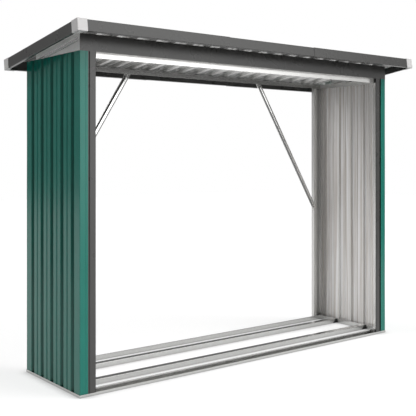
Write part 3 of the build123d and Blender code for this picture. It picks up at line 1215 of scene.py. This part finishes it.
@dataclass(frozen=True)
class Gables:
    """Plates that fill the wedges under the roof, with a groove along the slope."""

    store: Store
    steel: float = 1.2 * MM
    flange: float = 18 * MM
    tip: float = 14 * MM
    band: float = 13 * MM
    groove: float = 18 * MM
    groove_floor: float = 9 * MM
    groove_depth: float = 5 * MM
    end_plate: float = 15 * MM
    edge: float = 0.3 * MM
    flank_share: Point = (0.15, 0.85)

    @property
    def front(self) -> float:
        """Upright plane where the grooved plate stops and the plain one begins."""
        return self.store.front_plane + self.end_plate

    @property
    def rear(self) -> float:
        """Upright plane where the rear end of the grooved plate is cut off."""
        return self.store.rear_plane - self.tip / math.tan(self.store.fall)

    def plate(self) -> Surface:
        """Carries the section of the plate up the slope, cut off level at the side rail.

        A point of the section at height v over the seat line starts where its own line meets the rail,
        at -v / tan(fall) up the slope, or at the upright rear end if that comes later, and it stops at
        the upright front end.

        Returns:
            The left plate, with the flanks of its groove as painted-shade faces.
        """
        store = self.store
        sine, cosine = math.sin(store.fall), math.cos(store.fall)
        flank = (self.groove - self.groove_floor) / 2
        low = -self.band - self.groove
        lowest = -(store.rear_plane - self.front) * sine
        path = [(self.flange, store.roof_rib), (0, store.roof_rib), (0, -self.band)]
        path += [(self.groove_depth, -self.band - flank), (self.groove_depth, low + flank)]
        path += [(0, low), (0, lowest)]

        def upright(y: float, height: np.ndarray) -> np.ndarray:
            """Returns how far up the slope each height meets an upright plane."""
            return (store.rear_plane - y + height * sine) / cosine

        def start(ring: np.ndarray) -> np.ndarray:
            """Returns the lower ends of the section's lines."""
            level = np.maximum(upright(self.rear, ring[:, 1]), -ring[:, 1] * cosine / sine)
            return np.minimum(level, stop(ring))

        def stop(ring: np.ndarray) -> np.ndarray:
            """Returns the upper ends of the section's lines."""
            return upright(self.front, ring[:, 1])

        carried = Fold(path, self.steel, spacing=10 * MM).carried(start, stop, rows=30)
        centre = carried.points[carried.quads].mean(axis=1)
        deep, middle = centre[:, 1] / self.groove_depth, -self.band - self.groove / 2
        in_groove = np.abs(centre[:, 2] - middle) < self.groove / 2
        # The groove's flanks take the dark zinc as painted shade.
        flanks = in_groove & (deep > self.flank_share[0]) & (deep < self.flank_share[1])
        carried = replace(carried, skins=np.where(flanks, Skin.PAINTED_SHADE.value, carried.skins))
        corner = (-store.side, store.rear_plane, store.wall_top)
        return carried.placed(from_axes(corner, (0, -cosine, sine), (1, 0, 0), (0, sine, cosine)))

    def build(self, finishes: Finishes) -> None:
        """Makes both gables, each with its foot flange and the plain plate beside the header.

        Args:
            finishes: Finishes of the store.
        """
        store = self.store
        front, nose = self.front, store.front_plane + store.header_steel
        home = Matrix.Translation((-store.side, 0, store.wall_top))
        foot_outline = box_outline((front, 0), (self.rear, self.steel))
        foot = block(foot_outline, self.steel, self.flange, self.edge).placed(home)
        outline = [(nose, 0), (front, 0), (front, store.seat(front) - store.wall_top)]
        outline.append((nose, store.seat(nose) - store.wall_top))
        end = block(outline, 0, self.steel, self.edge).placed(home)
        # The plate takes a lighter copy of the zinc, painted light, and its groove flanks take dark zinc as
        # painted shade.
        coats = [finishes.painted_light_gable_zinc, finishes.painted_light_gable_zinc, finishes.painted_shade_zinc]
        for name, plate in both_sides("{}_gable", Surface.joined([self.plate(), foot])):
            piece(name + "_plate", plate, coats, Slot.ZINC, [name])
        for name, strip in both_sides("{}_gable", end):
            piece(name + "_end", strip, [finishes.painted_light_gable_zinc], Slot.ZINC, [name])


@dataclass(frozen=True)
class Braces:
    """Knee braces: strips pressed up into a ridge between their flat, square-cut ends."""

    store: Store
    width: float = 30 * MM
    rim: float = 2 * MM
    depth: float = 8 * MM
    flank: float = math.radians(41)
    flat_end: float = 24 * MM
    top_inset: float = 556 * MM
    bottom_height: float = 702.5 * MM
    knots: tuple[float, ...] = (-0.5, -0.15, 0.0, 0.15, 0.35, 0.65, 0.85, 1.0, 1.15, 1.5)
    ease: float = 0.12
    columns: int = 40
    flank_share: Point = (0.05, 0.95)

    def strip(self, length: float) -> Surface:
        """Draws the front face of the strip along X with the ridge standing on it.

        The height of the ridge is its depth times a share: the distance from its foot over the width
        of a flank, held between 0 and 1, with both turns rounded by the ease. The knots are places
        across a flank in flank widths, close together where it turns.

        Args:
            length: Length of the strip.

        Returns:
            An open surface on z = 0, whose thickness is added by a modifier.
        """
        reach = self.depth * math.tan(self.flank)
        half_mouth = np.array([length / 2 - self.flat_end, self.width / 2 - self.rim])
        knots = np.array(self.knots) * reach
        edges = [
            np.concatenate([[-half], knots - mouth, [0.0], mouth - knots[::-1], [half]])
            for half, mouth in zip((length / 2, self.width / 2), half_mouth)
        ]
        level = half_mouth[0] - 2 * reach
        along = np.unique(np.concatenate([edges[0], np.linspace(-level, level, self.columns)]))
        across = np.unique(np.clip(edges[1], -self.width / 2, self.width / 2))
        u, v = np.meshgrid(along, across, indexing="ij")
        inside = np.minimum(half_mouth[0] - np.abs(u), half_mouth[1] - np.abs(v)) / reach
        low = (inside + np.sqrt(inside**2 + self.ease**2)) / 2
        pressed = 1 - ((1 - low) + np.sqrt((1 - low) ** 2 + self.ease**2)) / 2
        points = np.stack([u, v, self.depth * np.clip(pressed, 0.0, 1.0)], axis=-1)
        quads = grid_faces(len(along), len(across), closed=False)[:, ::-1]
        flat = points.reshape(-1, 3)
        # The ridge's flanks take the dark zinc as painted shade.
        rise = pressed.reshape(-1)[quads].mean(axis=1)
        flanks = (rise > self.flank_share[0]) & (rise < self.flank_share[1])
        skins = np.where(flanks, Skin.PAINTED_SHADE.value, Skin.OUTSIDE.value)
        return Surface(flat, quads, flat[quads][..., :2], skins)

    def ends(self) -> tuple[Vector, Vector]:
        """Finds where the left brace meets its post and the top rail.

        Returns:
            Its lower and upper end, across and up from the store's left side.
        """
        store = self.store
        bottom = Vector((store.sheet + store.post_width, self.bottom_height))
        return bottom, Vector((self.top_inset, store.posts_high - self.width / 2))

    def build(self, finishes: Finishes) -> None:
        """Makes both braces between the rear top rail and the rear posts.

        Args:
            finishes: Finishes of the store.
        """
        store = self.store
        bottom, top = self.ends()
        middle, run = (bottom + top) / 2, top - bottom
        corner = (-store.side, store.rear_plane - store.post_face, 0)
        face = from_axes(corner, (1, 0, 0), (0, 0, 1), (0, -1, 0))
        turn = Matrix.Rotation(math.atan2(run.y, run.x), 4, "Z")
        place = face @ Matrix.Translation((middle.x, middle.y, store.brace_steel)) @ turn
        # A lighter copy of the zinc on the braces is painted light; the dark zinc on their flanks is painted
        # shade.
        coats = [finishes.painted_light_zinc, finishes.painted_light_zinc, finishes.painted_shade_zinc]
        for name, strip in both_sides("brace_{}", self.strip(run.length).placed(place)):
            made = piece(name + "_pressed", strip, coats, Slot.ZINC, [name])
            wall = made.modifiers.new("steel", "SOLIDIFY")
            wall.thickness = store.brace_steel
            wall.offset = -1.0
            made.modifiers.move(len(made.modifiers) - 1, 0)


@dataclass(frozen=True)
class RoofSheets:
    """Three ribbed sheets side by side, their ribs resting on the frame."""

    store: Store
    ribs_each: int = 7
    rib_inset: float = 43.2 * MM
    mouth: float = 34 * MM
    floor: float = 20 * MM
    bend: float = 1.0 * MM
    ripple: Ripple = Ripple(0.3 * MM, 0.8, 7)

    @property
    def pitch(self) -> float:
        """Distance between the middles of two ribs."""
        return (self.store.trim_length - 2 * self.rib_inset) / (3 * self.ribs_each - 1)

    def rib_centres(self, index: int) -> list[float]:
        """Returns the places along X of the ribs of a sheet, numbered from the left."""
        first = (index - 1) * self.ribs_each - (self.ribs_each - 1) / 2
        return [(first + number) * self.pitch for number in range(self.ribs_each)]

    def build(self, finishes: Finishes) -> None:
        """Makes the three sheets.

        Args:
            finishes: Finishes of the store.
        """
        store = self.store
        width = self.ribs_each * self.pitch
        half = store.trim_length / 2 - store.trim_steel
        edges = [-half, -width / 2, width / 2, half]
        down = 2 * store.trim_steel
        inset = down + self.bend
        lie = store.roof_frame() @ from_axes((0, 0, -down), (0, -1, 0), (1, 0, 0), (0, 0, 1))
        for index, side in enumerate(("left", "middle", "right")):
            path = [(edges[index], 0.0)]
            for centre in self.rib_centres(index):
                path += [(centre - self.mouth / 2, 0.0), (centre - self.floor / 2, -store.roof_rib)]
                path += [(centre + self.floor / 2, -store.roof_rib), (centre + self.mouth / 2, 0.0)]
            path.append((edges[index + 1], 0.0))
            fold = Fold(path[::-1], store.sheet, bend=self.bend, arc_steps=3, spacing=10 * MM)
            ripple = replace(self.ripple, seed=self.ripple.seed + index)
            sheet = fold.bar(inset - store.trim_slope, -inset, rows=26, ripple=ripple).placed(lie)
            name = f"roof_sheet_{side}"
            piece(name + "_ribbed", sheet, [finishes.roof_green, finishes.roof_backing], Slot.GREEN, [name])


@dataclass(frozen=True)
class RoofTrim:
    """Dark channel round the edge of the roof, in lapped lengths at the front and the back."""

    store: Store
    cover: float = 28 * MM
    turn_in: float = 14 * MM
    lap: float = 25 * MM
    seam_left: float = 806 * MM
    seam_right: float = 1370 * MM

    def fold(self, inset: float) -> Fold:
        """Draws the section of the trim.

        Args:
            inset: How far it is drawn inwards, where a length laps inside another.

        Returns:
            The folded section.
        """
        low = inset - self.store.trim_height
        path = [(self.cover, -inset), (inset, -inset), (inset, low), (self.turn_in, low)]
        return Fold(path, self.store.trim_steel)

    def build(self, finishes: Finishes) -> None:
        """Makes the eight lengths.

        Args:
            finishes: Finishes of the store.
        """
        store = self.store
        half = store.trim_length / 2
        left_seam, right_seam = self.seam_left - half, self.seam_right - half
        outer, inner = self.fold(0.0), self.fold(store.trim_steel)
        lengths = {
            "left": outer.carried(lambda ring: ring[:, 0] - half, square_end(left_seam), rows=24),
            "middle": inner.bar(left_seam - self.lap, right_seam + self.lap, rows=18),
            "right": outer.carried(square_end(right_seam), lambda ring: half - ring[:, 0], rows=24),
        }
        place = store.roof_frame() @ Matrix.Translation((0, store.trim_slope / 2, 0))
        edge = Matrix.Translation((0, -store.trim_slope / 2, 0))
        for part, surface in lengths.items():
            for row, turn in (("front", Matrix.Identity(4)), ("rear", MIRROR_Y)):
                name = f"roof_trim_{row}_{part}"
                run = surface.placed(place @ (turn @ edge))
                piece(name + "_length", run, [finishes.dark], Slot.DARK, [name])
        ring = store.ring(outer, store.trim_length, store.trim_slope)
        for side in ("left", "right"):
            name = f"roof_trim_{side}"
            piece(name + "_length", ring[side].placed(place), [finishes.dark], Slot.DARK, [name])


@dataclass(frozen=True)
class CornerCaps:
    """Pale caps folded round the corners of the trim."""

    store: Store
    steel: float = 2 * MM
    length: float = 46 * MM
    turn_in: float = 14 * MM
    corner: float = 3 * MM
    corner_steps: int = 6

    def cap(self) -> Surface:
        """Carries the section of a cap round the corner.

        Each point of the section follows the corner's plan drawn inwards by the point's own depth, so
        its arc has the corner's radius less that depth, and a square turn where that is used up.

        Returns:
            The cap of the front left corner.
        """
        store = self.store
        reach = self.length + self.steel
        tall = store.trim_height + 2 * self.steel
        inward = self.turn_in + self.steel
        ring = Fold([(reach, 0), (0, 0), (0, -tall), (inward, -tall)], self.steel).section()
        depth, height = ring[:, 0], ring[:, 1]
        angles = np.radians(np.linspace(0.0, 90.0, self.corner_steps + 1))[:, None]
        centre = np.maximum(depth, self.corner)
        radius = np.maximum(self.corner - depth, 0.0)
        far = np.full((1, len(ring)), reach)
        x = np.concatenate([[depth], centre - radius * np.cos(angles), far])
        y = np.concatenate([far, centre - radius * np.sin(angles), [depth]])
        points = np.stack([x, y, np.broadcast_to(height, x.shape)], axis=-1)
        sides = grid_faces(len(x), len(ring), closed=True)
        faces = np.concatenate([sides, sheet_ends(len(x), len(ring) // 2)])
        return Surface.plain(points, faces[:, ::-1])

    def build(self, finishes: Finishes) -> None:
        """Makes the four caps.

        Args:
            finishes: Finishes of the store.
        """
        store = self.store
        cap = self.cap()
        corner = Matrix.Translation((-store.trim_length / 2 - self.steel, -self.steel, self.steel))
        to_rear = Matrix.Translation((0, store.trim_slope, 0)) @ MIRROR_Y
        for row, turn in (("front", Matrix.Identity(4)), ("rear", to_rear)):
            placed = cap.placed(turn @ corner)
            for name, surface in both_sides(f"corner_cap_{row}_{{}}", placed):
                made = surface.placed(store.roof_frame())
                piece(name + "_folded", made, [finishes.cap], Slot.CAP, [name])


@dataclass(frozen=True)
class Fasteners:
    """Screws through the roof's ribs into the frame, and a bolt at each end of the braces."""

    store: Store
    roof: RoofSheets
    braces: Braces
    flat_radius: float = 4 * MM
    head: float = 3.6 * MM
    washer_radius: float = 5.5 * MM
    washer: float = 1.0 * MM
    sunk: float = 0.3 * MM
    from_front: float = 20 * MM
    from_rear: float = 12 * MM
    from_brace_end: float = 12 * MM
    steps: int = 24
    washer_edge: float = 0.6
    washer_top: float = 0.93
    head_edge: float = 0.5 * MM
    head_top: float = 0.94

    def screw(self) -> Surface:
        """Shapes a hexagonal head on its washer.

        The radius at an angle is the half width over flats divided by the cosine of the angle from the
        middle of the nearest flat, mixed with a plain circle by each row's share of hexagon. The washer
        narrows from washer_edge of its height to washer_top of its radius, and the head from head_edge
        below its top to head_top of its radius.

        Returns:
            The screw, standing on z = 0.
        """
        angle = np.arange(self.steps) * 2 * math.pi / self.steps
        sixth = math.pi / 3
        hexagon = self.flat_radius / np.cos((angle + sixth / 2) % sixth - sixth / 2)
        top = self.washer + self.head
        rows = np.array([
            (self.washer_radius, -self.sunk, 0.0),
            (self.washer_radius, self.washer * self.washer_edge, 0.0),
            (self.washer_radius * self.washer_top, self.washer, 0.0),
            (self.flat_radius, self.washer, 1.0),
            (self.flat_radius, top - self.head_edge, 1.0),
            (self.flat_radius * self.head_top, top, 0.0),
        ])
        round_radius, height, share = rows[:, 0:1], rows[:, 1:2], rows[:, 2:3]
        radius = round_radius * (1 - share) + hexagon * share
        x, y = radius * np.cos(angle), radius * np.sin(angle)
        points = np.stack([x, y, np.broadcast_to(height, radius.shape)], axis=-1)
        caps = [np.arange(self.steps)[::-1], np.arange(self.steps) + (len(rows) - 1) * self.steps]
        return Surface.plain(points, grid_faces(len(rows), self.steps, closed=True), caps)

    def build(self, finishes: Finishes) -> None:
        """Makes the screws of each roof sheet and the bolts of each brace.

        Args:
            finishes: Finishes of the store.
        """
        store, screw = self.store, self.screw()
        depth = 2 * store.trim_steel + store.roof_rib
        reach = store.front_overhang + store.wall_depth
        runs = (store.front_overhang + self.from_front, reach - self.from_rear)
        for index, side in enumerate(("left", "middle", "right")):
            ribs = [centre for centre in self.roof.rib_centres(index)[::2] if abs(centre) < store.side]
            spots = [(centre, run / math.cos(store.fall), -depth) for centre in ribs for run in runs]
            heads = [screw.placed(store.roof_frame() @ Matrix.Translation(spot)) for spot in spots]
            joined = Surface.joined(heads)
            piece(f"roof_screws_{side}", joined, [finishes.zinc], Slot.ZINC, [f"roof_sheet_{side}"])
        bottom, top = self.braces.ends()
        step = (top - bottom).normalized() * self.from_brace_end
        front = store.rear_plane - store.post_face - store.brace_steel
        bolts = []
        for spot in (bottom + step, top - step):
            lie = from_axes((spot.x - store.side, front, spot.y), (1, 0, 0), (0, 0, 1), (0, -1, 0))
            bolts.append(screw.placed(lie))
        for name, pair in both_sides("brace_{}", Surface.joined(bolts)):
            piece(name + "_bolts", pair, [finishes.zinc], Slot.ZINC, [name])


# Studio


@dataclass(frozen=True)
class Glow:
    """A soft patch of brighter surroundings: its direction, strength, and the cosines it fades between."""

    direction: tuple[float, float, float]
    strength: float
    outer: float
    inner: float


@dataclass(frozen=True)
class Studio:
    """White floor, soft light and the camera, in metres, with the lens and its sensor in millimetres."""

    camera_place: tuple[float, float, float] = (-2.6047, -3.1491, 1.0264)
    azimuth: float = 38.16
    lens: float = 66.95
    sensor: float = 36.0
    horizon_shift: float = -0.1233
    view_end: float = 60.0
    overhead: float = 0.05
    skyline: float = 0.28
    sky_heights: Point = (0.05, 0.8)
    glows: tuple[Glow, ...] = (
        Glow((0.287, -0.882, 0.375), 2.4, 0.80, 0.92),
        Glow((-0.66, 0.64, 0.60), 3.3, 0.885, 0.985),
    )
    sun_from: tuple[float, float, float] = (0.55, -0.42, 0.72)
    sun_width: float = math.radians(40)
    sun_strength: float = 1.5
    paper: float = 0.48
    seen_paper: float = 0.36
    seen_glow: float = 0.74
    crevice_reach: float = 0.05
    floor_reach: float = 14.0
    floor_front: float = -2.6

    def camera(self) -> None:
        """Sets a level camera at the photograph's viewpoint."""
        data = bpy.data.cameras.new("camera")
        data.lens = self.lens
        data.sensor_width = self.sensor
        data.shift_y = self.horizon_shift
        data.clip_end = self.view_end
        made = bpy.data.objects.new("camera", data)
        made.location = self.camera_place
        made.rotation_euler = (math.radians(90), 0, math.radians(-self.azimuth))
        bpy.context.scene.collection.objects.link(made)
        bpy.context.scene.camera = made

    def sun(self) -> None:
        """Hangs a broad, soft lamp high in front of the store; shiny steel doesn't mirror it."""
        data = bpy.data.lights.new("overhead_light", "SUN")
        data.energy = self.sun_strength
        data.angle = self.sun_width
        made = bpy.data.objects.new("overhead_light", data)
        made.rotation_euler = Vector(self.sun_from).to_track_quat("Z", "Y").to_euler()
        made.visible_glossy = False
        bpy.context.scene.collection.objects.link(made)

    def world(self) -> None:
        """Lights the store from pale surroundings, and shows the camera a white background.

        The strength in a direction is a mix of skyline and overhead by its height, plus each glow
        smoothed between its two cosines. Reflections see that light too, and not the plain white, so
        that the steel mirrors pale patches and a darker sky.
        """
        world = bpy.data.worlds.new("studio")
        bpy.context.scene.world = world
        tree = Tree(world)
        direction = tree.add("ShaderNodeTexCoord").outputs["Generated"]
        height = tree.add("ShaderNodeSeparateXYZ", Vector=direction).outputs["Z"]
        total = tree.add(
            "ShaderNodeMapRange",
            {"interpolation_type": "SMOOTHSTEP"},
            Value=height,
            From_Min=self.sky_heights[0],
            From_Max=self.sky_heights[1],
            To_Min=self.skyline,
            To_Max=self.overhead,
        ).outputs["Result"]
        for glow in self.glows:
            aim = Vector(glow.direction).normalized()
            cosine = tree.add("ShaderNodeVectorMath", {"operation": "DOT_PRODUCT"}, i0=direction, i1=aim)
            patch = tree.add(
                "ShaderNodeMapRange",
                {"interpolation_type": "SMOOTHSTEP"},
                Value=cosine.outputs["Value"],
                From_Min=glow.outer,
                From_Max=glow.inner,
                To_Max=glow.strength,
            )
            total = tree.add("ShaderNodeMath", i0=total, i1=patch.outputs["Result"]).outputs[0]
        light = tree.add("ShaderNodeBackground", Color=WHITE, Strength=total)
        white = tree.add("ShaderNodeBackground", Color=WHITE, Strength=1.0)
        seen = tree.seen("Is Camera Ray", "Is Transmission Ray")
        mix = tree.add("ShaderNodeMixShader", i0=seen, i1=light.outputs[0], i2=white.outputs[0])
        tree.add("ShaderNodeOutputWorld", Surface=mix.outputs[0])

    def floor(self) -> None:
        """Lays a pale floor that looks white, with the store's shadow and contact shade.

        A glow that lights nothing, but that the camera and the steel's reflections see, lifts the paper
        to white. It fades in the crevices along the rails.
        """
        mesh = bpy.data.meshes.new("floor")
        reach, front = self.floor_reach, self.floor_front
        corners = [(-reach, front, 0), (reach, front, 0), (reach, reach, 0), (-reach, reach, 0)]
        mesh.from_pydata(corners, [], [(0, 1, 2, 3)])
        floor = bpy.data.objects.new("floor", mesh)
        bpy.context.scene.collection.objects.link(floor)
        tree = Tree.of_material("studio_floor")
        seen = tree.seen("Is Camera Ray", "Is Glossy Ray", "Is Transmission Ray")
        tone = tree.between(seen, self.paper, self.seen_paper)
        colour = tree.add("ShaderNodeCombineColor", Red=tone, Green=tone, Blue=tone).outputs["Color"]
        paper = tree.add("ShaderNodeBsdfDiffuse", Color=colour)
        shaded = tree.between(tree.open_share(self.crevice_reach), 0.0, self.seen_glow)
        strength = tree.add("ShaderNodeMath", {"operation": "MULTIPLY"}, i0=shaded, i1=seen).outputs[0]
        glow = tree.add("ShaderNodeEmission", Strength=strength)
        both = tree.add("ShaderNodeAddShader", i0=glow.outputs[0], i1=paper.outputs[0])
        mesh.materials.append(tree.finished(both))

    def build(self) -> None:
        """Sets up the view, the light, the floor and the camera."""
        bpy.context.scene.view_settings.view_transform = "Standard"
        self.camera()
        self.world()
        self.floor()
        self.sun()


def main() -> None:
    """Builds the store piece by piece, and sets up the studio."""
    logging.basicConfig(level=logging.INFO, format="%(name)s: %(message)s")
    finishes = Finishes.mixed()
    store = Store()
    base, roof, braces = BaseRing(store), RoofSheets(store), Braces(store)
    for part in (
        base,
        FloorRails(store, base),
        CornerBlocks(store, base),
        Posts(store),
        WallSheets(store),
        TopRing(store),
        Header(store),
        Gables(store),
        braces,
        roof,
        Fasteners(store, roof, braces),
        RoofTrim(store),
        CornerCaps(store),
    ):
        log.info("building %s", type(part).__name__)
        part.build(finishes)
    Studio().build()


if __name__ == "__main__":
    main()
